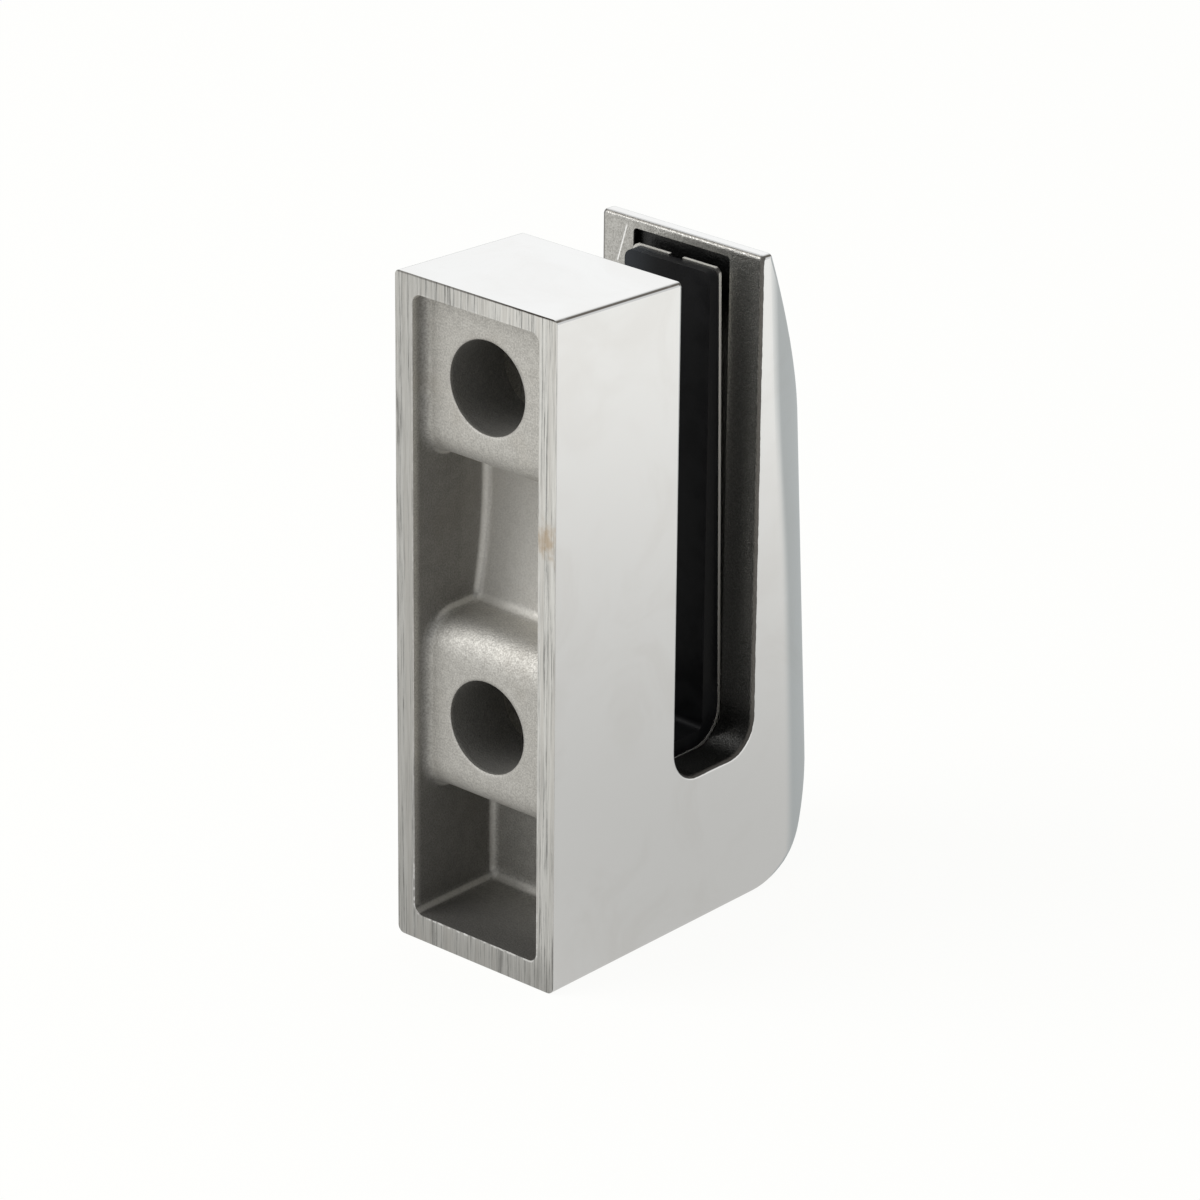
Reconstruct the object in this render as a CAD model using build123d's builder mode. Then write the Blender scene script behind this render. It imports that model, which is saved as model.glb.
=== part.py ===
from build123d import *
import math
import os

# Side-mounted glass spigot, in mm. X runs across it, Y=0 is the face that lies on
# the wall with the body towards -Y, and heights are from the underside until the end,
# where the whole is placed with its origin between the bolt holes.
width = 30.0
height = 101.85            # at the wall face
top_fall_deg = 3.07        # the top runs down to the front, to shed water
block_depth = 26.0         # wall face to the back of the glass slot
slot_width = 17.0
slot_floor_z = 23.8
slot_corner_r = 5.0
slot_edge_round = 0.7      # all round the slot's mouth
jaw_top = 2.3              # the jaw's thickness at its top
facet_deg = 21.3           # lean of the flat on the upper front
front_depth = 61.8         # wall face to the round front, at the height below
front_level = 61.3
front_lean_deg = 3.8       # the round front leans out towards its foot
foot_setback = 9.4         # the flat of the foot meets the underside this far behind it
foot_lean_deg = 24.0
foot_r = 12.5
edge_round = 0.8
brow_round = 0.8           # the front of the jaw into its top
foot_edge_round = 1.1

# Hollow in the wall face, with its two bosses
frame_side = 3.24
frame_bottom = 3.95
frame_top = 2.75
cavity_corner_r = 1.5
low_pocket_depth = 16.5
mid_pocket_depth = 14.7
mid_pocket_rise = 2.0      # its floor is this much shallower at the lower boss
mid_pocket_sag = 0.9       # and swells towards the wall by this
pocket_r = 2.0
boss_drop = 2.5            # boss faces lie this far below the wall face
boss_edge_r = 5.0
upper_bolt_z = 87.44
bolt_spacing = 51.3
boss_half = 13.3
bolt_hole_r = 7.0
head_seat_r = 10.0
head_seat_depth = 12.5

# Recess for the liner, all round the slot
recess_half = 9.0
recess_depth = 1.2
recess_top_drop = 1.4      # from the slot's mouth down to the recess's upper end
recess_corner_r = 0.7

# Liner: a spring steel strip bent to a U, with rubber on its glass side
strip_half = 8.05
strip_t = 0.5
seat_gap = 0.2             # strip to the recess floor
strip_bend_r = 5.6         # on the outside of the bend
strip_top_z = 96.3
strip_lean_deg = 1.3       # the free front leg leans away from the jaw
strip_tip_r = 1.0
notch_w = 2.5
notch_h = 3.0
rubber_half = 8.0
rubber_top_drop = 0.25
rubber_tip_r = 1.5
glass_t = 12.0
glass_play = 0.45
rubber_floor_t = 2.4
rubber_back_t = 2.0
rubber_inner_r = 1.0
bond_gap = 0.05
tab_reach = 0.6

# Clamp screws in the thick of the jaw: M12 set screws that press on the strip
clamp_z = 60.5             # height half way between the two
clamp_spacing = 30.0
screw_r = 6.0
screw_fit = 0.05
screw_backoff = 1.5        # tip to the recess floor, as delivered
upper_screw_len = 8.0
lower_screw_len = 16.0
screw_chamfer = 0.8
key_af = 6.0
key_depth = 4.0

half = width / 2
jaw_y = -(block_depth + slot_width)
lower_bolt_z = upper_bolt_z - bolt_spacing
top_slope = math.tan(math.radians(top_fall_deg))
facet_slope = math.tan(math.radians(facet_deg))
jaw_top_y = jaw_y - jaw_top
jaw_top_z = height + top_slope * jaw_top_y
foot_depth = front_depth - foot_setback
front_slope = math.tan(math.radians(front_lean_deg))
foot_slope = math.tan(math.radians(foot_lean_deg))
# the flats of the upper front and the foot would meet in a nose ahead of the round
nose_z = (facet_slope * jaw_top_z - jaw_top_y - foot_depth) / (foot_slope + facet_slope)
nose_y = -(foot_depth + foot_slope * nose_z)
recess_y = jaw_y - recess_depth
liner_top_z = jaw_top_z - recess_top_drop
bolt_axes = [(0, upper_bolt_z), (0, lower_bolt_z)]
clamp_axes = [(0, clamp_z + clamp_spacing / 2), (0, clamp_z - clamp_spacing / 2)]
cavity_half = half - frame_side
boss_y = -boss_drop

# middle of the strip's thickness: back leg, floor and the foot of the leaning leg
strip_off = recess_depth - seat_gap - strip_t / 2
strip_back_y = -block_depth + strip_off
strip_floor_z = slot_floor_z - strip_off
strip_front_y = jaw_y - strip_off
strip_lean = math.tan(math.radians(strip_lean_deg))
strip_top_y = strip_front_y + strip_lean * (strip_top_z - strip_floor_z)
bond = strip_t / 2 + bond_gap
rubber_top_z = strip_top_z - rubber_top_drop
rubber_out_z = strip_floor_z + bond
rubber_in_y = strip_back_y - bond - rubber_back_t
glass_y = rubber_in_y - glass_t - glass_play
tip_y = recess_y - screw_backoff


def slot_corners(grow):
    """Corners of the slot seen from the side, made bigger by grow, open at its top."""
    return [(-block_depth + grow, height + grow), (-block_depth + grow, slot_floor_z - grow),
            (jaw_y - grow, slot_floor_z - grow), (jaw_y - grow, height + grow)]


def leg_y(z):
    """Middle of the strip's front leg at height z."""
    return strip_front_y + strip_lean * (z - strip_floor_z)


# What the recess takes out: the slot's outline made bigger, with rounded upper corners
with BuildPart() as recess:
    with BuildSketch(Plane.YZ):
        with BuildLine():
            bent = FilletPolyline(*slot_corners(recess_depth), radius=slot_corner_r + recess_depth)
            Line(bent @ 0, bent @ 1)
        make_face()
    extrude(amount=recess_half, both=True)
    with BuildSketch(Plane.XZ) as recess_front:
        with Locations((0, liner_top_z / 2)):
            Rectangle(2 * recess_half, liner_top_z)
        fillet(recess_front.vertices().group_by(Axis.Z)[-1], recess_corner_r)
    extrude(amount=2 * (block_depth + slot_width), mode=Mode.INTERSECT)

# What the hollow in the wall face takes out: low pocket, middle pocket and boss faces
with BuildPart() as hollow:
    with BuildSketch(Plane.YZ) as hollow_side:
        low_z = lower_bolt_z - boss_half
        mid_z = lower_bolt_z + boss_half
        high_z = upper_bolt_z - boss_half
        with BuildLine():
            Polyline((frame_side, high_z), (frame_side, frame_bottom),
                     (-low_pocket_depth, frame_bottom), (-low_pocket_depth, low_z),
                     (boss_y, low_z), (boss_y, mid_z),
                     (-mid_pocket_depth + mid_pocket_rise, mid_z))
            SagittaArc((-mid_pocket_depth + mid_pocket_rise, mid_z),
                       (-mid_pocket_depth, high_z), mid_pocket_sag)
            Polyline((-mid_pocket_depth, high_z), (boss_y, high_z),
                     (boss_y, height - frame_top), (frame_side, height - frame_top),
                     (frame_side, high_z))
        make_face()
        corners = hollow_side.vertices().filter_by(lambda v: v.X < 0)
        boss_edges = corners.filter_by(
            lambda v: abs(v.X - boss_y) < 0.01 and v.Y < upper_bolt_z)
        fillet(boss_edges, boss_edge_r)
        pockets = hollow_side.vertices().filter_by(lambda v: v.X < boss_y - boss_edge_r - 0.5)
        fillet(pockets, pocket_r)
    extrude(amount=cavity_half, both=True)
    sides = hollow.faces().filter_by(Axis.X).edges().filter_by(
        lambda e: e.center().Y < frame_side - 0.1)
    fillet(sides, cavity_corner_r)

# The casting: a flat-sided block with a round front, one piece of polished steel
with BuildPart() as casting:
    with BuildSketch(Plane.YZ) as side_view:
        with BuildLine():
            Polyline((0, 0), (0, height), (jaw_top_y, jaw_top_z), (nose_y, nose_z),
                     (-foot_depth, 0), (0, 0))
        make_face()
        fillet(side_view.vertices().group_by(Axis.Y)[0].sort_by(Axis.X)[0], foot_r)
        brow = side_view.vertices().filter_by(lambda v: abs(v.X - jaw_top_y) < 0.01)
        fillet(brow, brow_round)
    extrude(amount=half, both=True)
    lean = Plane(origin=(0, half - front_depth - front_slope * front_level, 0),
                 x_dir=(1, 0, 0), z_dir=(0, front_slope, 1))
    with BuildSketch(lean.offset(-width)):
        Circle(half)
        with Locations((0, front_depth)):
            Rectangle(width, 2 * front_depth)
    extrude(amount=height + 2 * width, mode=Mode.INTERSECT)
    # edges rolled over by the polishing: round the foot and underside, then the top
    foot = casting.edges().filter_by(
        lambda e: e.center().Z < front_level / 2 and abs(e.center().Y) > 1
        and (e.geom_type != GeomType.LINE or abs(e.center().X) > 1 and e.center().Z < 1))
    fillet(foot, foot_edge_round)
    crown = casting.edges().filter_by(
        lambda e: e.geom_type == GeomType.ELLIPSE and e.center().Z > nose_z)
    fillet(crown, edge_round)

    # glass slot, open at both sides and at the top, its mouth rolled over all round
    with BuildSketch(Plane.YZ):
        with BuildLine():
            bent = FilletPolyline(*slot_corners(0), radius=slot_corner_r)
            Line(bent @ 0, bent @ 1)
        make_face()
    extrude(amount=width, both=True, mode=Mode.SUBTRACT)
    lip = casting.edges().filter_by(Axis.X).filter_by(
        lambda e: e.center().Z > upper_bolt_z and (
            abs(e.center().Y + block_depth) < 0.1 or abs(e.center().Y - jaw_y) < 0.1))
    fillet(lip, slot_edge_round)
    add(recess.part, mode=Mode.SUBTRACT)
    add(hollow.part, mode=Mode.SUBTRACT)

    # bolt holes with seats for the nuts, and the threads of the clamp screws
    with BuildSketch(Plane.XZ):
        with Locations(*bolt_axes):
            Circle(bolt_hole_r)
    extrude(amount=block_depth + 1, mode=Mode.SUBTRACT)
    with BuildSketch(Plane.XZ.offset(block_depth - head_seat_depth)):
        with Locations(*bolt_axes):
            Circle(head_seat_r)
    extrude(amount=head_seat_depth + 1, mode=Mode.SUBTRACT)
    with BuildSketch(Plane.XZ.offset(-jaw_y - 1)):
        with Locations(*clamp_axes):
            Circle(screw_r + screw_fit)
    extrude(amount=width + slot_width, mode=Mode.SUBTRACT)

# Spring steel strip, bent to a U round the slot, with a notch in its front leg
with BuildPart() as liner_strip:
    with BuildSketch(Plane.YZ):
        with BuildLine():
            FilletPolyline((strip_back_y, strip_top_z), (strip_back_y, strip_floor_z),
                           (strip_front_y, strip_floor_z), (strip_top_y, strip_top_z),
                           radius=strip_bend_r)
        trace(line_width=strip_t)
    extrude(amount=strip_half, both=True)
    tips = liner_strip.edges().filter_by(
        lambda e: e.length < 2 * strip_t and e.center().Z > strip_top_z - 1)
    fillet(tips, strip_tip_r)
    with Locations((0, strip_top_y, strip_top_z)):
        Box(notch_w, 4, 2 * notch_h, mode=Mode.SUBTRACT)

# Rubber bonded inside the strip, its glass faces upright and its tab in the notch
with BuildPart() as liner_rubber:
    with BuildSketch(Plane.YZ):
        with BuildLine():
            outer = FilletPolyline(
                (strip_back_y - bond, rubber_top_z), (strip_back_y - bond, rubber_out_z),
                (leg_y(rubber_out_z) + bond, rubber_out_z),
                (leg_y(rubber_top_z) + bond, rubber_top_z),
                radius=strip_bend_r - bond)
            inner = FilletPolyline(
                (rubber_in_y, rubber_top_z), (rubber_in_y, rubber_out_z + rubber_floor_t),
                (glass_y, rubber_out_z + rubber_floor_t), (glass_y, rubber_top_z),
                radius=rubber_inner_r)
            Line(outer @ 0, inner @ 0)
            Line(outer @ 1, inner @ 1)
        make_face()
    extrude(amount=rubber_half, both=True)
    ends = liner_rubber.edges().filter_by(Axis.Y).filter_by(
        lambda e: e.center().Z > rubber_top_z - 0.1)
    fillet(ends, rubber_tip_r)
    with BuildSketch(Plane.YZ):
        with BuildLine():
            tab_low = rubber_top_z - notch_h + 3 * bond_gap
            tab_high = rubber_top_z - rubber_floor_t / 4
            Polyline((leg_y(tab_low) + bond + bond_gap, tab_low),
                     (leg_y(tab_low) - bond - tab_reach, tab_low),
                     (leg_y(tab_high) - bond - tab_reach, tab_high),
                     (leg_y(tab_high) + bond + bond_gap, tab_high),
                     (leg_y(tab_low) + bond + bond_gap, tab_low))
        make_face()
    extrude(amount=notch_w / 2 - bond_gap, both=True)


# Set screws with a key socket in the outer end, backed off from the strip
with BuildPart() as upper_screw:
    with BuildSketch(Plane.XZ.offset(-tip_y)):
        with Locations(clamp_axes[0]):
            Circle(screw_r)
    extrude(amount=upper_screw_len)
    chamfer(upper_screw.edges(), screw_chamfer)
    with BuildSketch(Plane.XZ.offset(-tip_y + upper_screw_len)):
        with Locations(clamp_axes[0]):
            RegularPolygon(key_af / 2, 6, major_radius=False)
    extrude(amount=-key_depth, mode=Mode.SUBTRACT)

with BuildPart() as lower_screw:
    with BuildSketch(Plane.XZ.offset(-tip_y)):
        with Locations(clamp_axes[1]):
            Circle(screw_r)
    extrude(amount=lower_screw_len)
    chamfer(lower_screw.edges(), screw_chamfer)
    with BuildSketch(Plane.XZ.offset(-tip_y + lower_screw_len)):
        with Locations(clamp_axes[1]):
            RegularPolygon(key_af / 2, 6, major_radius=False)
    extrude(amount=-key_depth, mode=Mode.SUBTRACT)

# Placed with the origin half way between the bolt holes, on their boss faces
datum = Location((0, -boss_y, -(upper_bolt_z + lower_bolt_z) / 2))
os.makedirs("parts", exist_ok=True)
casting.part.label = "casting"
export_step(casting.part.move(datum), "parts/casting.step")
liner_strip.part.label = "liner_strip"
export_step(liner_strip.part.move(datum), "parts/liner_strip.step")
liner_rubber.part.label = "liner_rubber"
export_step(liner_rubber.part.move(datum), "parts/liner_rubber.step")
upper_screw.part.label = "upper_clamp_screw"
export_step(upper_screw.part.move(datum), "parts/upper_clamp_screw.step")
lower_screw.part.label = "lower_clamp_screw"
export_step(lower_screw.part.move(datum), "parts/lower_clamp_screw.step")
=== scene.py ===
import math

import bmesh
import bpy
from mathutils import Matrix, Vector


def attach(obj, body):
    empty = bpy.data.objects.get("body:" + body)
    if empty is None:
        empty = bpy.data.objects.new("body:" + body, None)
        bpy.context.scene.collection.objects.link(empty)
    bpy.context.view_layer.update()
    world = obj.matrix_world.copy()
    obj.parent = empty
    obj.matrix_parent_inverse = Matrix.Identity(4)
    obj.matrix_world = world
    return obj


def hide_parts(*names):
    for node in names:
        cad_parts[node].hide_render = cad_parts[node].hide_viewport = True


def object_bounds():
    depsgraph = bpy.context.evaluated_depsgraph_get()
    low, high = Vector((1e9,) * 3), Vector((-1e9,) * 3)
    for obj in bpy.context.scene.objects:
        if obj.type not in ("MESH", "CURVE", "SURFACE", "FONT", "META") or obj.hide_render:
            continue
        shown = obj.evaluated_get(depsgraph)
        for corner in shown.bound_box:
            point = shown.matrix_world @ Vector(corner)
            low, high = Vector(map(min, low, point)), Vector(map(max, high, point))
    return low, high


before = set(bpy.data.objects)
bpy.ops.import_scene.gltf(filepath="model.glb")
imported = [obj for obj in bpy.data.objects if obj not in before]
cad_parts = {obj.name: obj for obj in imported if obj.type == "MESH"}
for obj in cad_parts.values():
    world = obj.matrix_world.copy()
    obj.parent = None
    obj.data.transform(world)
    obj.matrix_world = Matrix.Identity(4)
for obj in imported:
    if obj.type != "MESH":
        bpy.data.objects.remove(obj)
cad_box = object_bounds()

# Camera: a long lens behind and above the spigot, to its left, so that the hollow
# wall face, one flat side and the glass slot all show. Place and angles were solved from
# the straight edges of the block.
azimuth, elevation, roll = (math.radians(angle) for angle in (221.28, 23.53, 0.58))
towards = Vector((math.sin(azimuth) * math.cos(elevation),
                  -math.cos(azimuth) * math.cos(elevation), math.sin(elevation)))
right = (-towards).cross(Vector((0, 0, 1))).normalized()
up = right.cross(-towards)
cam_right = math.cos(roll) * right + math.sin(roll) * up
cam_up = math.cos(roll) * up - math.sin(roll) * right
camera_data = bpy.data.cameras.new("camera")
camera_data.sensor_width = 36
camera_data.lens = 169.9
camera_data.clip_end = 20
camera = bpy.data.objects.new("camera", camera_data)
bpy.context.scene.collection.objects.link(camera)
camera.matrix_world = Matrix.Translation((-0.48935, 0.53357, 0.30934)) @ Matrix(
    (cam_right, cam_up, towards)).transposed().to_4x4()
bpy.context.scene.camera = camera
bpy.context.scene.view_settings.view_transform = "Standard"

# The casting: investment-cast stainless steel in one piece. The wall hollow and the slot
# keep the blasted skin of the mould, the wall frame is ground flat on a belt, and the
# rest is mirror polished. It is bolted to the wall through its two bosses.
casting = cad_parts["casting"]
half_width = 0.015
wall_y = 0.0025
top_level, top_slope = 0.039926, 0.05363
hollow_half, hollow_corner = 0.01176, 0.0015
hollow_low, hollow_high = -0.05784, 0.03731
slot_back, slot_jaw, slot_floor = -0.0235, -0.0405, -0.03799
recess_half = 0.0090
bolt_up, bolt_hole_r, worn_mouth_r = 0.02565, 0.0070, 0.0076
screw_levels, screw_bore_r, thread_pitch = (0.01371, -0.01629), 0.00605, 0.00175


def put(tree, kind, values=None, **settings):
    """Adds one node. A value is a number, a colour or the socket that feeds the input."""
    node = tree.nodes.new(kind)
    for key, setting in settings.items():
        setattr(node, key, setting)
    for socket, value in (values or {}).items():
        if isinstance(value, bpy.types.NodeSocket):
            tree.links.new(value, node.inputs[socket])
        else:
            node.inputs[socket].default_value = value
    return node


def shader(name):
    """A new material, its node tree, its Principled shader and its object coordinates."""
    material = bpy.data.materials.new(name)
    material.use_nodes = True
    tree = material.node_tree
    place = put(tree, "ShaderNodeTexCoord").outputs["Object"]
    return material, tree, tree.nodes["Principled BSDF"], place


def maths(tree, how, first, second=0.0, third=None):
    """What one Math node gives."""
    values = {0: first, 1: second}
    if third is not None:
        values[2] = third
    return put(tree, "ShaderNodeMath", values, operation=how).outputs[0]


def times(tree, first, *others):
    """The product of values, or the part that all masks share."""
    for other in others:
        first = maths(tree, "MULTIPLY", first, other)
    return first


def highest(tree, first, *others):
    """The highest of values, or all that any mask covers."""
    for other in others:
        first = maths(tree, "MAXIMUM", first, other)
    return first


def distance(tree, one, other):
    """The distance that two offsets at right angles add up to."""
    return maths(tree, "SQRT", maths(tree, "MULTIPLY_ADD", one, one, times(tree, other, other)))


def vector_maths(tree, how, first, second=(0.0, 0.0, 0.0)):
    """What one Vector Math node gives."""
    node = put(tree, "ShaderNodeVectorMath", {0: first, 1: second}, operation=how)
    return node.outputs["Value" if how == "LENGTH" else "Vector"]


def split(tree, vector):
    """X, Y and Z of a vector."""
    return put(tree, "ShaderNodeSeparateXYZ", {0: vector}).outputs


def ramp(tree, value, low, high, from_low=0.0, to_high=1.0):
    """value run from low..high to from_low..to_high, smoothly and held at both ends."""
    return put(tree, "ShaderNodeMapRange", {"Value": value, "From Min": low, "From Max": high,
                                            "To Min": from_low, "To Max": to_high},
               interpolation_type="SMOOTHSTEP").outputs[0]


def noise(tree, place, scale, detail, **more):
    """A noise pattern. Its Roughness or Distortion may be given too."""
    return put(tree, "ShaderNodeTexNoise",
               {"Vector": place, "Scale": scale, "Detail": detail, **more}).outputs[0]


def blend_value(tree, mask, first, second):
    """A mix of two numbers by a mask."""
    return put(tree, "ShaderNodeMix", {0: mask, 2: first, 3: second}).outputs[0]


def blend_colour(tree, mask, first, second):
    """A mix of two colours by a mask."""
    node = put(tree, "ShaderNodeMix", {0: mask, 6: first, 7: second}, data_type="RGBA")
    return node.outputs[2]


def new_effect(name, sizes, outputs):
    """An empty shader node group. It takes a Vector and sizes, and gives named numbers."""
    group = bpy.data.node_groups.new(name, "ShaderNodeTree")
    group.interface.new_socket("Vector", in_out="INPUT", socket_type="NodeSocketVector")
    for label, value in sizes.items():
        kind = "NodeSocketFloat" if isinstance(value, float) else "NodeSocketVector"
        socket = group.interface.new_socket(label, in_out="INPUT", socket_type=kind)
        socket.default_value = value
    for label in outputs:
        group.interface.new_socket(label, in_out="OUTPUT", socket_type="NodeSocketFloat")
    given, result = group.nodes.new("NodeGroupInput"), group.nodes.new("NodeGroupOutput")
    return group, given.outputs, result.inputs


def lay_effect(tree, group, place, sizes):
    """What an effect gives on one material, with that material's sizes."""
    return put(tree, "ShaderNodeGroup", {"Vector": place, **sizes}, node_tree=group).outputs


def finish(tree, surface, colour, rough, height, strength, full_height):
    """Feeds a material's colour, roughness and relief to its Principled shader."""
    bump = put(tree, "ShaderNodeBump", {"Height": height, "Strength": strength,
                                        "Distance": full_height})
    tree.links.new(colour, surface.inputs["Base Color"])
    tree.links.new(rough, surface.inputs["Roughness"])
    tree.links.new(bump.outputs[0], surface.inputs["Normal"])


# blasted mould skin: fine grit over soft lumps, with dark flecks in the pits
cast_skin, given, result = new_effect("cast_skin", {"Grit Size": 0.0003, "Lump Size": 0.002},
                                      ("Height", "Tone", "Fleck"))
grit_scale = maths(cast_skin, "DIVIDE", 1.0, given["Grit Size"])
lump_scale = maths(cast_skin, "DIVIDE", 1.0, given["Lump Size"])
grit = noise(cast_skin, given["Vector"], grit_scale, 3.0, Roughness=0.6)
lumps = noise(cast_skin, given["Vector"], lump_scale, 4.0, Roughness=0.55)
pits = put(cast_skin, "ShaderNodeTexVoronoi", {"Vector": given["Vector"], "Scale": grit_scale},
           feature="SMOOTH_F1").outputs[0]
height = maths(cast_skin, "MULTIPLY_ADD", grit, 0.7, times(cast_skin, pits, 0.5))
height = maths(cast_skin, "MULTIPLY_ADD", lumps, 0.8, height)
tone = maths(cast_skin, "MULTIPLY_ADD", grit, 0.75, times(cast_skin, lumps, 0.25))
cast_skin.links.new(height, result["Height"])
cast_skin.links.new(tone, result["Tone"])
cast_skin.links.new(ramp(cast_skin, grit, 0.66, 0.74), result["Fleck"])

# grinding, rolling or turning lines: long in one direction, fine in the other two
tool_lines, given, result = new_effect("tool_lines", {"Length Scale": (5000.0, 5000.0, 105.0)},
                                       ("Line", "Patch"))
drawn_out = vector_maths(tool_lines, "MULTIPLY", given["Vector"], given["Length Scale"])
fine = noise(tool_lines, drawn_out, 1.0, 5.0, Roughness=0.75)
tool_lines.links.new(fine, result["Line"])
tool_lines.links.new(noise(tool_lines, drawn_out, 0.22, 2.0), result["Patch"])

# handling: faint smears on a polish and hair scratches, both very shallow
handling, given, result = new_effect("handling", {"Smear Size": 0.02}, ("Smear", "Hair"))
smears = noise(handling, given["Vector"], maths(handling, "DIVIDE", 1.0, given["Smear Size"]),
               5.0, Roughness=0.6, Distortion=0.8)
drawn_out = vector_maths(handling, "MULTIPLY", given["Vector"], (900.0, 40.0, 2600.0))
hairs = noise(handling, drawn_out, 1.0, 2.0)
handling.links.new(ramp(handling, smears, 0.42, 0.68), result["Smear"])
handling.links.new(ramp(handling, hairs, 0.70, 0.76), result["Hair"])

steel, tree, surface, place = shader("cast_and_polished_steel")
across, depth, level = split(tree, place)
side = maths(tree, "ABSOLUTE", across)
up_or_down = maths(tree, "ABSOLUTE", level)
from_side = maths(tree, "SUBTRACT", half_width, side)
from_top = maths(tree, "SUBTRACT",
                 maths(tree, "MULTIPLY_ADD", depth, top_slope, top_level), level)
from_bolt = distance(tree, maths(tree, "SUBTRACT", up_or_down, bolt_up), across)
waver = noise(tree, place, 700.0, 3.0)
ragged = ramp(tree, waver, 0.3, 0.7, -0.000015, 0.000015)

# where each finish lies: 1 inside, 0 outside
on_wall = ramp(tree, depth, wall_y - 0.00006, wall_y - 0.00002)
in_hollow = times(
    tree, ramp(tree, side, hollow_half + 0.00012, hollow_half + 0.00006),
    ramp(tree, level, hollow_low - 0.00012, hollow_low - 0.00006),
    ramp(tree, level, hollow_high + 0.00012, hollow_high + 0.00006),
    ramp(tree, depth, slot_back - 0.0002, slot_back + 0.0002),
    maths(tree, "SUBTRACT", 1.0, on_wall))
over_recess = ramp(tree, side, recess_half + 0.0002, recess_half)
slot_front = ramp(tree, side, recess_half + 0.0002, recess_half,
                  slot_jaw - 0.0007, slot_jaw - 0.0014)
in_slot = times(
    tree, ramp(tree, maths(tree, "ADD", side, ragged), half_width - 0.00006,
               half_width - 0.00008),
    maths(tree, "GREATER_THAN", depth, slot_front),
    ramp(tree, depth, slot_back + 0.0009, slot_back + 0.0008),
    ramp(tree, level, slot_floor - 0.0019, slot_floor - 0.0017),
    ramp(tree, from_top, 0.000116, 0.000166))
as_cast = highest(tree, in_hollow, in_slot)

skin = lay_effect(tree, cast_skin, place, {"Grit Size": 0.00028, "Lump Size": 0.0016})
belt = lay_effect(tree, tool_lines, place, {"Length Scale": (5000.0, 5000.0, 105.0)})
marks = lay_effect(tree, handling, place, {"Smear Size": 0.018})

# the ground frame: light steel with dark lines and scores, with painted shade that darkens it to
# one side and low down
ground = blend_colour(tree, ramp(tree, belt["Line"], 0.32, 0.62), (0.40, 0.395, 0.375, 1),
                      (0.72, 0.71, 0.675, 1))
ground = blend_colour(tree, ramp(tree, belt["Patch"], 0.40, 0.70, 0.0, 0.75), ground,
                      (0.62, 0.60, 0.56, 1))
scored = times(tree, ramp(tree, belt["Line"], 0.46, 0.40),
               ramp(tree, belt["Patch"], 0.58, 0.42, 0.08, 0.8))
ground = blend_colour(tree, scored, ground, (0.20, 0.195, 0.185, 1))
# painted shade: the frame is darker towards +X and low down
painted_shade_ground_side = highest(tree, ramp(tree, across, -0.008, 0.012, 0.0, 0.36),
                 ramp(tree, level, -0.054, -0.060, 0.0, 0.36))
ground = blend_colour(tree, painted_shade_ground_side, ground, (0.21, 0.205, 0.19, 1))

# a bright burr in pieces along the hollow's rim, most of it at the foot
hollow_middle = (hollow_low + hollow_high) / 2
hollow_half_height = (hollow_high - hollow_low) / 2
beside = highest(tree, maths(tree, "SUBTRACT", side, hollow_half - hollow_corner), 0.0)
beyond = maths(tree, "ABSOLUTE", maths(tree, "SUBTRACT", level, hollow_middle))
beyond = highest(tree, maths(tree, "SUBTRACT", beyond, hollow_half_height - hollow_corner), 0.0)
from_hollow = maths(tree, "SUBTRACT", distance(tree, beside, beyond), hollow_corner)
burr = times(tree, ramp(tree, from_hollow, 0.00032, 0.00018),
             ramp(tree, noise(tree, place, 1100.0, 2.0), 0.46, 0.62),
             ramp(tree, level, -0.045, -0.0555, 0.12, 0.75))
ground = blend_colour(tree, burr, ground, (0.93, 0.92, 0.89, 1))

# one tea-coloured stain on the frame's left side
from_stain = vector_maths(tree, "SUBTRACT", place, (-0.0132, wall_y, 0.0074))
from_stain = vector_maths(tree, "MULTIPLY", from_stain, (420.0, 300.0, 330.0))
from_stain = maths(tree, "MULTIPLY_ADD", waver, 2.2, vector_maths(tree, "LENGTH", from_stain))
from_stain = maths(tree, "MULTIPLY_ADD", belt["Line"], 0.8, from_stain)
ground = blend_colour(tree, ramp(tree, from_stain, 2.7, 1.5, 0.0, 0.6), ground,
                      (0.40, 0.27, 0.14, 1))

# a painted dark reflection along the edge where the frame meets the polished top
painted_dark_top_edge = times(tree, ramp(tree, maths(tree, "MULTIPLY_ADD", waver, 0.00016, from_top),
                            0.00042, 0.00026),
                 ramp(tree, across, 0.012, -0.011, 0.55, 1.0))
ground = blend_colour(tree, painted_dark_top_edge, ground, (0.06, 0.052, 0.045, 1))

# the mould skin in the hollow: warm grey with brown patches and near-black flecks
skin_tone = ramp(tree, skin["Tone"], 0.36, 0.64)
hollow_tone = blend_colour(tree, skin_tone, (0.455, 0.44, 0.41, 1), (0.61, 0.595, 0.555, 1))
hollow_tone = blend_colour(tree, times(tree, skin["Fleck"], 0.3), hollow_tone,
                           (0.16, 0.15, 0.14, 1))
hollow_tone = blend_colour(tree, ramp(tree, noise(tree, place, 110.0, 3.0), 0.5, 0.8, 0.0, 0.3),
                           hollow_tone, (0.46, 0.42, 0.36, 1))
# painted light: the back of the hollow's middle pocket is painted lighter
painted_light_pocket_back = times(tree, ramp(tree, depth, -0.006, -0.012, 0.0, 0.6),
                    ramp(tree, up_or_down, 0.018, 0.013))
hollow_tone = blend_colour(tree, painted_light_pocket_back, hollow_tone, (0.82, 0.80, 0.755, 1))
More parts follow.
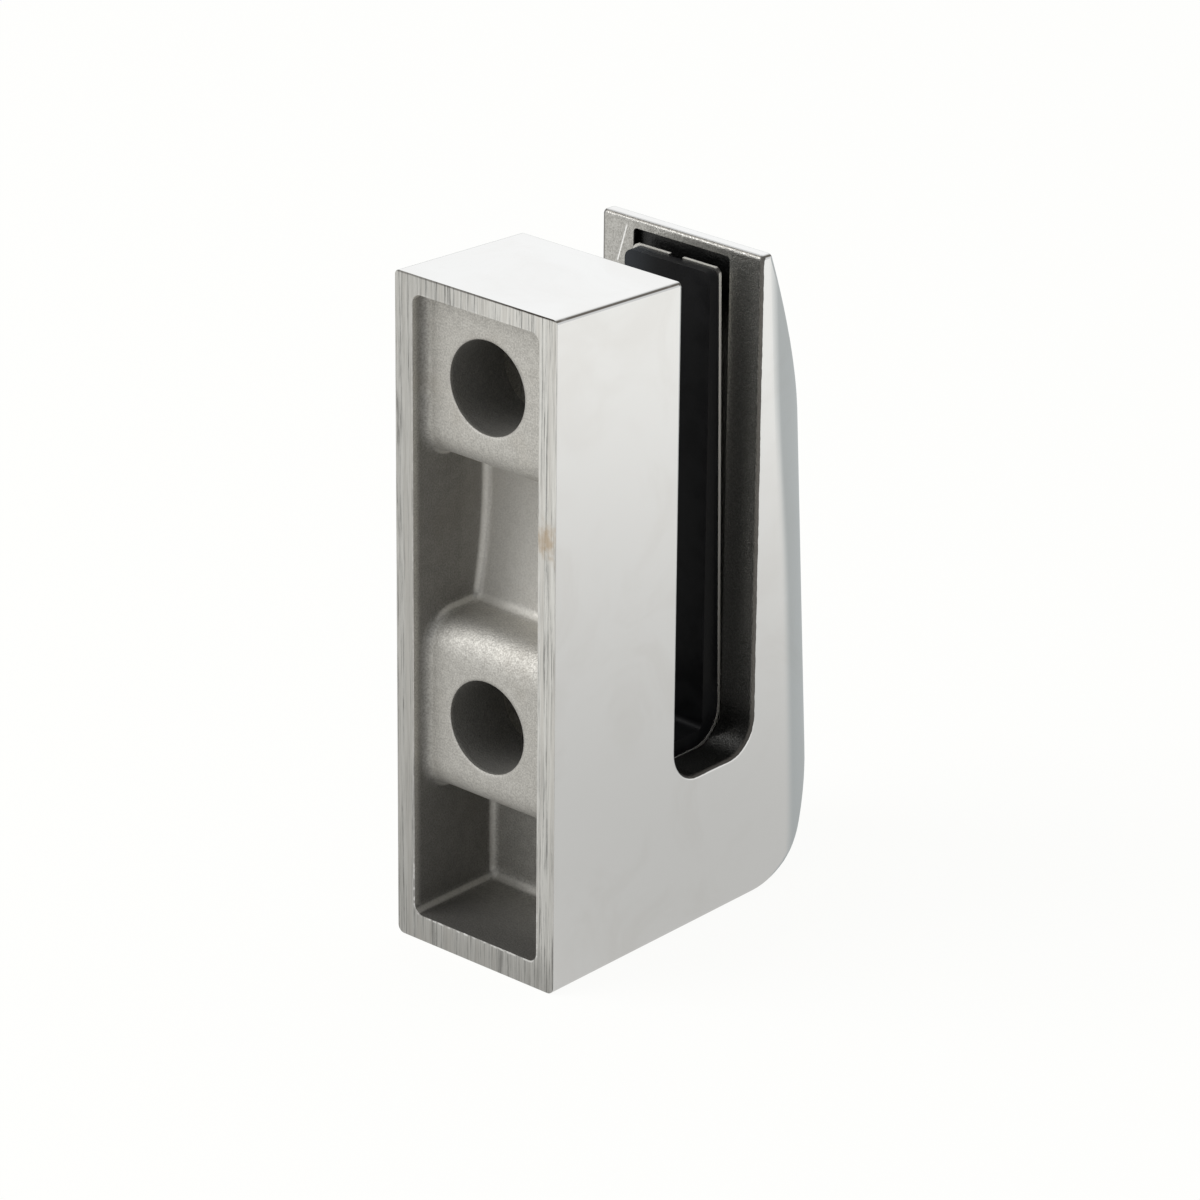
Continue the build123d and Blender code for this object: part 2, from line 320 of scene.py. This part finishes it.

# painted shade and highlight: the hollow's walls, its low pocket, its floor and the bolt holes
# are painted darker, and the inner fillets get a painted highlight
normals = put(tree, "ShaderNodeTexCoord").outputs["Normal"]
facing_side, facing_wall, facing_up = split(tree, vector_maths(tree, "ABSOLUTE", normals))
at_back = times(tree, facing_wall, highest(tree, facing_side, facing_up),
                ramp(tree, depth, -0.0045, -0.006))
at_corner = times(tree, facing_side, facing_up, ramp(tree, side, 0.0085, 0.0092))
fillet_highlight = ramp(tree, highest(tree, at_back, at_corner), 0.33, 0.50)
walls = times(tree, ramp(tree, side, 0.0104, 0.0116, 0.0, 0.56),
              ramp(tree, depth, 0.0023, 0.0009))
low_pocket = times(tree, ramp(tree, level, -0.036, -0.042, 0.0, 0.17),
                   ramp(tree, depth, 0.0022, 0.0))
pocket_floor = times(tree, ramp(tree, level, -0.0562, -0.0573),
                     ramp(tree, depth, -0.014, 0.0015, 0.30, 0.72))
bolt_holes = times(tree, ramp(tree, from_bolt, bolt_hole_r + 0.00025, bolt_hole_r, 0.0, 0.52),
                   ramp(tree, depth, 0.0004, -0.0008))
painted_shade_hollow = highest(tree, walls, ramp(tree, depth, 0.0, -0.006, 0.0, 0.02), low_pocket,
                 pocket_floor, bolt_holes)
painted_shade_hollow = times(tree, painted_shade_hollow, maths(tree, "MULTIPLY_ADD", fillet_highlight, -0.6, 1.0))
# painted highlight on the inner fillets
hollow_tone = blend_colour(tree, times(tree, fillet_highlight, 0.55), hollow_tone,
                           (0.86, 0.84, 0.79, 1))
hollow_tone = blend_colour(tree, painted_shade_hollow, hollow_tone, (0.05, 0.048, 0.045, 1))

# the slot: the same skin, with painted shade that darkens its floor, its edges and the high part
# of the jaw's recess
slot_tone = blend_colour(tree, skin_tone, (0.38, 0.37, 0.345, 1), (0.53, 0.52, 0.49, 1))
# painted shade: the slot's floor is painted near black
slot_tone = blend_colour(tree, ramp(tree, level, -0.0300, -0.0350, 0.0, 0.86), slot_tone,
                         (0.045, 0.045, 0.043, 1))
# painted shade: the jaw's recess darkens towards its top
recess_shade_tone = blend_colour(tree, ramp(tree, level, 0.021, 0.0295), (0.46, 0.455, 0.43, 1),
                           (0.045, 0.045, 0.045, 1))
in_recess = times(tree, ramp(tree, depth, slot_jaw - 0.0002, slot_jaw - 0.0004), over_recess)
slot_tone = blend_colour(tree, in_recess, slot_tone, recess_shade_tone)
# painted shade along the slot's side edges and a painted dark line on the jaw's top edge
jaw_top = times(tree, ramp(tree, from_top, 0.000426, 0.000286),
                ramp(tree, depth, -0.039, -0.0395, 0.0, 0.8))
slot_edge_shade = highest(tree, jaw_top, ramp(tree, side, 0.01425, 0.01465, 0.0, 0.85))
slot_tone = blend_colour(tree, slot_edge_shade, slot_tone, (0.075, 0.068, 0.06, 1))

# one straight scratch on the jaw's bare skin beside the rubber
from_scratch = maths(tree, "SUBTRACT", maths(tree, "MULTIPLY_ADD", level, 0.2965, across),
                     0.02101)
scratch = times(tree, ramp(tree, maths(tree, "ABSOLUTE", from_scratch), 0.00016, 0.00008),
                ramp(tree, level, 0.0302, 0.0308), ramp(tree, level, 0.0366, 0.0360),
                ramp(tree, depth, -0.038, -0.039))
slot_tone = blend_colour(tree, scratch, slot_tone, (0.92, 0.91, 0.89, 1))

# the polish, with a painted dark reflection along the arris between the top and each side
polished = blend_colour(tree, marks["Smear"], (0.83, 0.825, 0.81, 1), (0.80, 0.79, 0.77, 1))
off_arris = maths(tree, "ABSOLUTE", maths(tree, "SUBTRACT", from_top, from_side))
off_arris = times(tree, off_arris, ramp(tree, across, -0.001, 0.001, 1.0, 0.5))
arris_dark_reflection = times(tree, ramp(tree, off_arris, 0.00034, 0.00014),
              ramp(tree, from_side, 0.0007, 0.0006), ramp(tree, waver, 0.1, 0.5, 0.6))
polished = blend_colour(tree, times(tree, arris_dark_reflection, 0.92), polished, (0.11, 0.092, 0.072, 1))

colour = blend_colour(tree, as_cast, polished,
                      blend_colour(tree, in_slot, hollow_tone, slot_tone))
colour = blend_colour(tree, on_wall, colour, ground)
rough = maths(tree, "MULTIPLY_ADD", marks["Smear"], 0.03,
              maths(tree, "MULTIPLY_ADD", marks["Hair"], 0.04, 0.07))
for where, pattern, in_dips, on_tops in ((as_cast, skin["Tone"], 0.70, 0.58),
                                         (in_slot, skin["Tone"], 0.42, 0.32),
                                         (on_wall, belt["Line"], 0.50, 0.36)):
    rough = blend_value(tree, where, rough, ramp(tree, pattern, 0.3, 0.7, in_dips, on_tops))

# relief in metres: grit in the skin, belt lines on the frame, threads in the screw bores
# and worn mouths on the bolt holes
relief = times(tree, skin["Height"], as_cast, 0.00007)
relief = maths(tree, "MULTIPLY_ADD", times(tree, belt["Line"], on_wall), 0.00003, relief)
for screw_level in screw_levels:
    rise = maths(tree, "SUBTRACT", level, screw_level)
    turn = maths(tree, "ARCTAN2", rise, across)
    thread = maths(tree, "SINE", maths(tree, "MULTIPLY_ADD", depth, 2 * math.pi / thread_pitch,
                                       turn))
    in_bore = times(tree, ramp(tree, distance(tree, rise, across), screw_bore_r + 0.0001,
                               screw_bore_r + 0.00005),
                    ramp(tree, depth, slot_jaw + 0.0010, slot_jaw + 0.0005))
    relief = maths(tree, "MULTIPLY_ADD", times(tree, thread, in_bore), 0.00045, relief)
worn = highest(tree, maths(tree, "SUBTRACT", worn_mouth_r, from_bolt), 0.0)
worn = times(tree, worn, worn, maths(tree, "GREATER_THAN", depth, -0.0004))
relief = maths(tree, "MULTIPLY_ADD", worn, -420.0, relief)
finish(tree, surface, colour, rough, relief, 1.0, 1.0)
surface.inputs["Metallic"].default_value = 1.0
casting.data.materials.clear()
casting.data.materials.append(steel)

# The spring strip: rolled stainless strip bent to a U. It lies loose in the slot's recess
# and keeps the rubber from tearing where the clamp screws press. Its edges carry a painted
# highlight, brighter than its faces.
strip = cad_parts["liner_strip"]
strip_half, strip_top = 0.00805, 0.03451
spring, tree, surface, place = shader("rolled_spring_strip")
rolled = lay_effect(tree, tool_lines, place, {"Length Scale": (6500.0, 900.0, 160.0)})
marks = lay_effect(tree, handling, place, {"Smear Size": 0.008})
across, _, level = split(tree, place)
# painted highlight along the strip's edges and top
edge_highlight = highest(tree, ramp(tree, maths(tree, "ABSOLUTE", across), strip_half - 0.00010,
                             strip_half - 0.00003),
                  ramp(tree, level, strip_top - 0.00011, strip_top - 0.00003))
colour = blend_colour(tree, ramp(tree, rolled["Line"], 0.3, 0.7), (0.46, 0.45, 0.42, 1),
                      (0.70, 0.69, 0.655, 1))
colour = blend_colour(tree, times(tree, marks["Smear"], 0.4), colour, (0.40, 0.38, 0.34, 1))
colour = blend_colour(tree, edge_highlight, colour, (0.96, 0.94, 0.88, 1))
rough = blend_value(tree, edge_highlight, ramp(tree, rolled["Line"], 0.3, 0.7, 0.42, 0.26), 0.62)
finish(tree, surface, colour, rough, rolled["Line"], 0.5, 0.00002)
surface.inputs["Metallic"].default_value = 1.0
strip.data.materials.clear()
strip.data.materials.append(spring)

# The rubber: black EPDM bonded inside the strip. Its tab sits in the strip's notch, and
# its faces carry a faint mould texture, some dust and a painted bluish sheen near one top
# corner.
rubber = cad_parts["liner_rubber"]
black, tree, surface, place = shader("black_rubber")
pebble = lay_effect(tree, cast_skin, place, {"Grit Size": 0.00025, "Lump Size": 0.004})
marks = lay_effect(tree, handling, place, {"Smear Size": 0.006})
across, _, level = split(tree, place)
# painted sheen: paler and bluish towards one top corner
painted_sheen = times(tree, ramp(tree, across, 0.001, 0.0085), ramp(tree, level, 0.018, 0.031))
colour = blend_colour(tree, pebble["Tone"], (0.0035, 0.0035, 0.004, 1),
                      (0.007, 0.007, 0.0075, 1))
colour = blend_colour(tree, times(tree, marks["Smear"], 0.25), colour,
                      (0.016, 0.016, 0.017, 1))
colour = blend_colour(tree, painted_sheen, colour, (0.030, 0.034, 0.040, 1))
rough = ramp(tree, marks["Smear"], 0.0, 1.0, 0.40, 0.58)
finish(tree, surface, colour, rough, pebble["Height"], 0.4, 0.00004)
surface.inputs["Specular IOR Level"].default_value = 0.16
rubber.data.materials.clear()
rubber.data.materials.append(black)

# The clamp screws: M12 set screws of turned stainless bar, with a rolled thread and a key
# socket. They are driven through the thick of the jaw and press the strip and rubber on
# the glass.
turned, tree, surface, place = shader("turned_screw_steel")
lines = lay_effect(tree, tool_lines, place, {"Length Scale": (300.0, 9000.0, 300.0)})["Line"]
colour = blend_colour(tree, ramp(tree, lines, 0.3, 0.7), (0.40, 0.40, 0.385, 1),
                      (0.66, 0.655, 0.635, 1))
rough = ramp(tree, lines, 0.3, 0.7, 0.40, 0.24)
finish(tree, surface, colour, rough, lines, 0.4, 0.00003)
surface.inputs["Metallic"].default_value = 1.0

screw_tip, end_r, tip_middle_r = -0.0432, 0.0050, 0.003
key_r, key_mouth_r, key_mouth, key_depth = 0.003, 0.00365, 0.0003, 0.004
drill_r, drill_depth = 0.0018, 0.0046
facets, steps_a_turn = 72, 14
crest_flat, root_flat = 1 / 8, 1 / 4        # as shares of the pitch
phase_shift = 0.001                         # keeps the crest off the seam between turns
thread_sizes = {"Length": 0.008, "Pitch": thread_pitch, "Crest Radius": 0.00595,
                "Root Radius": 0.00505, "End Radius": end_r, "Tip Y": screw_tip, "Level": 0.0}

# the thread: a sheet sheared along the helix, so that its crest runs on the grid's lines
helix = bpy.data.node_groups.new("set_screw_thread", "GeometryNodeTree")
helix.interface.new_socket("Geometry", in_out="INPUT", socket_type="NodeSocketGeometry")
thread_inputs = {}
for label, value in thread_sizes.items():
    socket = helix.interface.new_socket(label, in_out="INPUT", socket_type="NodeSocketFloat")
    socket.default_value = value
    thread_inputs[label] = socket.identifier
for label, kind in (("Steps", "NodeSocketInt"), ("Material", "NodeSocketMaterial")):
    socket = helix.interface.new_socket(label, in_out="INPUT", socket_type=kind)
    thread_inputs[label] = socket.identifier
helix.interface.new_socket("Geometry", in_out="OUTPUT", socket_type="NodeSocketGeometry")
given, result = helix.nodes.new("NodeGroupInput").outputs, helix.nodes.new("NodeGroupOutput")
pitch, length = given["Pitch"], given["Length"]
sheet = put(helix, "GeometryNodeMeshGrid", {
    "Vertices X": maths(helix, "ADD", given["Steps"], 1.0), "Vertices Y": facets + 1})
grid_x, grid_y = split(helix, put(helix, "GeometryNodeInputPosition").outputs[0])[:2]
along = times(helix, maths(helix, "ADD", grid_x, 0.5), maths(helix, "ADD", length, pitch))
round_by = maths(helix, "ADD", grid_y, 0.5)
reach = maths(helix, "MULTIPLY_ADD", maths(helix, "SUBTRACT", round_by, 1.0), pitch, along)
reach = highest(helix, maths(helix, "MINIMUM", reach, length), 0.0)
phase = maths(helix, "FRACT", maths(helix, "ADD", maths(helix, "DIVIDE", along, pitch),
                                    phase_shift))
off_crest = maths(helix, "ABSOLUTE", maths(helix, "SUBTRACT", phase, 0.5 + phase_shift))
flank = put(helix, "ShaderNodeMapRange", {
    "Value": off_crest, "From Min": crest_flat / 2, "From Max": 0.5 - root_flat / 2,
    "To Min": given["Crest Radius"], "To Max": given["Root Radius"]}).outputs[0]
from_end = maths(helix, "MINIMUM", reach, maths(helix, "SUBTRACT", length, reach))
radius = maths(helix, "MINIMUM", flank, maths(helix, "ADD", from_end, given["End Radius"]))
angle = times(helix, round_by, 2 * math.pi)
where = put(helix, "ShaderNodeCombineXYZ", {
    0: times(helix, radius, maths(helix, "COSINE", angle)),
    1: maths(helix, "SUBTRACT", given["Tip Y"], reach),
    2: maths(helix, "MULTIPLY_ADD", radius, maths(helix, "SINE", angle), given["Level"])})
wound = put(helix, "GeometryNodeSetPosition", {"Geometry": sheet.outputs["Mesh"],
                                               "Position": where.outputs[0]})
joined = put(helix, "GeometryNodeJoinGeometry")
helix.links.new(given["Geometry"], joined.inputs[0])
helix.links.new(wound.outputs[0], joined.inputs[0])
closed = put(helix, "GeometryNodeMergeByDistance", {"Geometry": joined.outputs[0],
                                                    "Distance": 0.000008})
real = put(helix, "GeometryNodeRealizeInstances", {"Geometry": closed.outputs[0]})
painted = put(helix, "GeometryNodeSetMaterial", {"Geometry": real.outputs[0],
                                                 "Material": given["Material"]})
helix.links.new(painted.outputs[0], result.inputs[0])

angles = [2 * math.pi * k / facets for k in range(facets)]
hexagon = [key_r / math.cos((t + math.pi / 6) % (math.pi / 3) - math.pi / 6) for t in angles]
for name, screw_level, size in (("upper", screw_levels[0], 0.008),
                                ("lower", screw_levels[1], 0.016)):
    # a flat tip, and a hexagon socket with a chamfered mouth in the outer end
    outer_end = screw_tip - size
    ends = bmesh.new()
    for rounds in ([(screw_tip, [end_r] * facets), (screw_tip, [tip_middle_r] * facets)],
                   [(outer_end, [end_r] * facets), (outer_end, [key_mouth_r] * facets),
                    (outer_end + key_mouth, hexagon), (outer_end + key_depth, hexagon),
                    (outer_end + drill_depth, [drill_r] * facets)]):
        loops = [[ends.verts.new((r * math.cos(t), y, screw_level + r * math.sin(t)))
                  for r, t in zip(radii, angles)] for y, radii in rounds]
        for near, far in zip(loops, loops[1:]):
            for k in range(facets):
                ends.faces.new((near[k - 1], near[k], far[k], far[k - 1]))
        ends.faces.new(loops[-1])
    blank = bpy.data.meshes.new(name + "_ends")
    ends.to_mesh(blank)
    ends.free()
    holder = bpy.data.objects.new(name + "_threaded_screw", blank)
    bpy.context.scene.collection.objects.link(holder)
    winding = holder.modifiers.new("thread", "NODES")
    winding.node_group = helix
    steps = round(size / thread_pitch * steps_a_turn) + steps_a_turn
    for label, value in {**thread_sizes, "Length": size, "Level": screw_level,
                         "Steps": steps, "Material": turned}.items():
        winding[thread_inputs[label]] = value
    made = bpy.data.meshes.new_from_object(
        holder.evaluated_get(bpy.context.evaluated_depsgraph_get()))
    holder.modifiers.clear()
    mended = bmesh.new()
    mended.from_mesh(made)
    bmesh.ops.dissolve_degenerate(mended, dist=0.000004, edges=mended.edges)
    bmesh.ops.recalc_face_normals(mended, faces=mended.faces)
    mended.to_mesh(made)
    mended.free()
    made.shade_smooth()
    made.set_sharp_from_angle(angle=math.radians(38))
    holder.data = made
    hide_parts(name + "_clamp_screw")
    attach(holder, name + "_screw")

# The studio: a plain pale sweep under the spigot and two soft boxes. The floor reads white
# to the lens, and to reflections it is shaded round the spigot's foot by distance and
# bearing, as a polished part in a light tent shows it.
sweep = bmesh.new()
bmesh.ops.create_grid(sweep, x_segments=1, y_segments=1, size=4.0,
                      matrix=Matrix.Translation((0, 0, cad_box[0][2])))
floor_mesh = bpy.data.meshes.new("floor")
sweep.to_mesh(floor_mesh)
sweep.free()
floor = bpy.data.objects.new("floor", floor_mesh)
bpy.context.scene.collection.objects.link(floor)
pale, tree, surface, place = shader("pale_floor")
surface.inputs["Base Color"].default_value = (0.86, 0.86, 0.86, 1)
surface.inputs["Roughness"].default_value = 0.9
surface.inputs["Specular IOR Level"].default_value = 0.0
foot_x, foot_y = -0.015, -0.047
near, far = 0.10, 0.21
floor_x, floor_y = split(tree, place)[:2]
ahead = maths(tree, "SUBTRACT", foot_y, floor_y)
aside = maths(tree, "SUBTRACT", foot_x, floor_x)
spread = distance(tree, ahead, aside)
bearing = maths(tree, "ARCTAN2", aside, ahead)
shade_start = ramp(tree, spread, near, far, math.radians(33), math.radians(40))
shade_full = ramp(tree, spread, near, far, math.radians(14), math.radians(27))
shade = times(tree, ramp(tree, bearing, shade_start, shade_full),
              ramp(tree, bearing, math.radians(-100), math.radians(-60)))
seen = put(tree, "ShaderNodeLightPath").outputs["Is Camera Ray"]
lit = blend_value(tree, times(tree, shade, 0.9), ramp(tree, spread, 0.0, 0.26, 0.59, 1.00), 0.44)
lit = blend_value(tree, seen, lit, 1.0)
cool = times(tree, shade, maths(tree, "SUBTRACT", 1.0, seen))
tint = blend_colour(tree, cool, (1, 1, 0.985, 1), (0.93, 0.985, 1, 1))
glow = put(tree, "ShaderNodeEmission", {"Color": tint, "Strength": lit})
both = put(tree, "ShaderNodeMixShader", {0: 0.93, 1: surface.outputs[0], 2: glow.outputs[0]})
tree.links.new(both.outputs[0], tree.nodes["Material Output"].inputs["Surface"])
floor_mesh.materials.append(pale)

world = bpy.data.worlds.new("studio")
world.use_nodes = True
background = world.node_tree.nodes["Background"]
background.inputs["Color"].default_value = (0.97, 0.985, 1.0, 1)
background.inputs["Strength"].default_value = 0.75
bpy.context.scene.world = world


def soft_box(name, at, size, power):
    """A square area light that faces the middle of the spigot."""
    light = bpy.data.lights.new(name, "AREA")
    light.size = size
    light.energy = power
    lamp = bpy.data.objects.new(name, light)
    bpy.context.scene.collection.objects.link(lamp)
    aim = Vector((0, -0.03, 0)) - Vector(at)
    turn = aim.to_track_quat("-Z", "Y").to_matrix().to_4x4()
    lamp.matrix_world = Matrix.Translation(at) @ turn


soft_box("key_soft_box", (0.52, 0.62, 0.82), 0.7, 7.5)
soft_box("back_soft_box", (0.60, -0.72, 0.42), 0.7, 0.52)
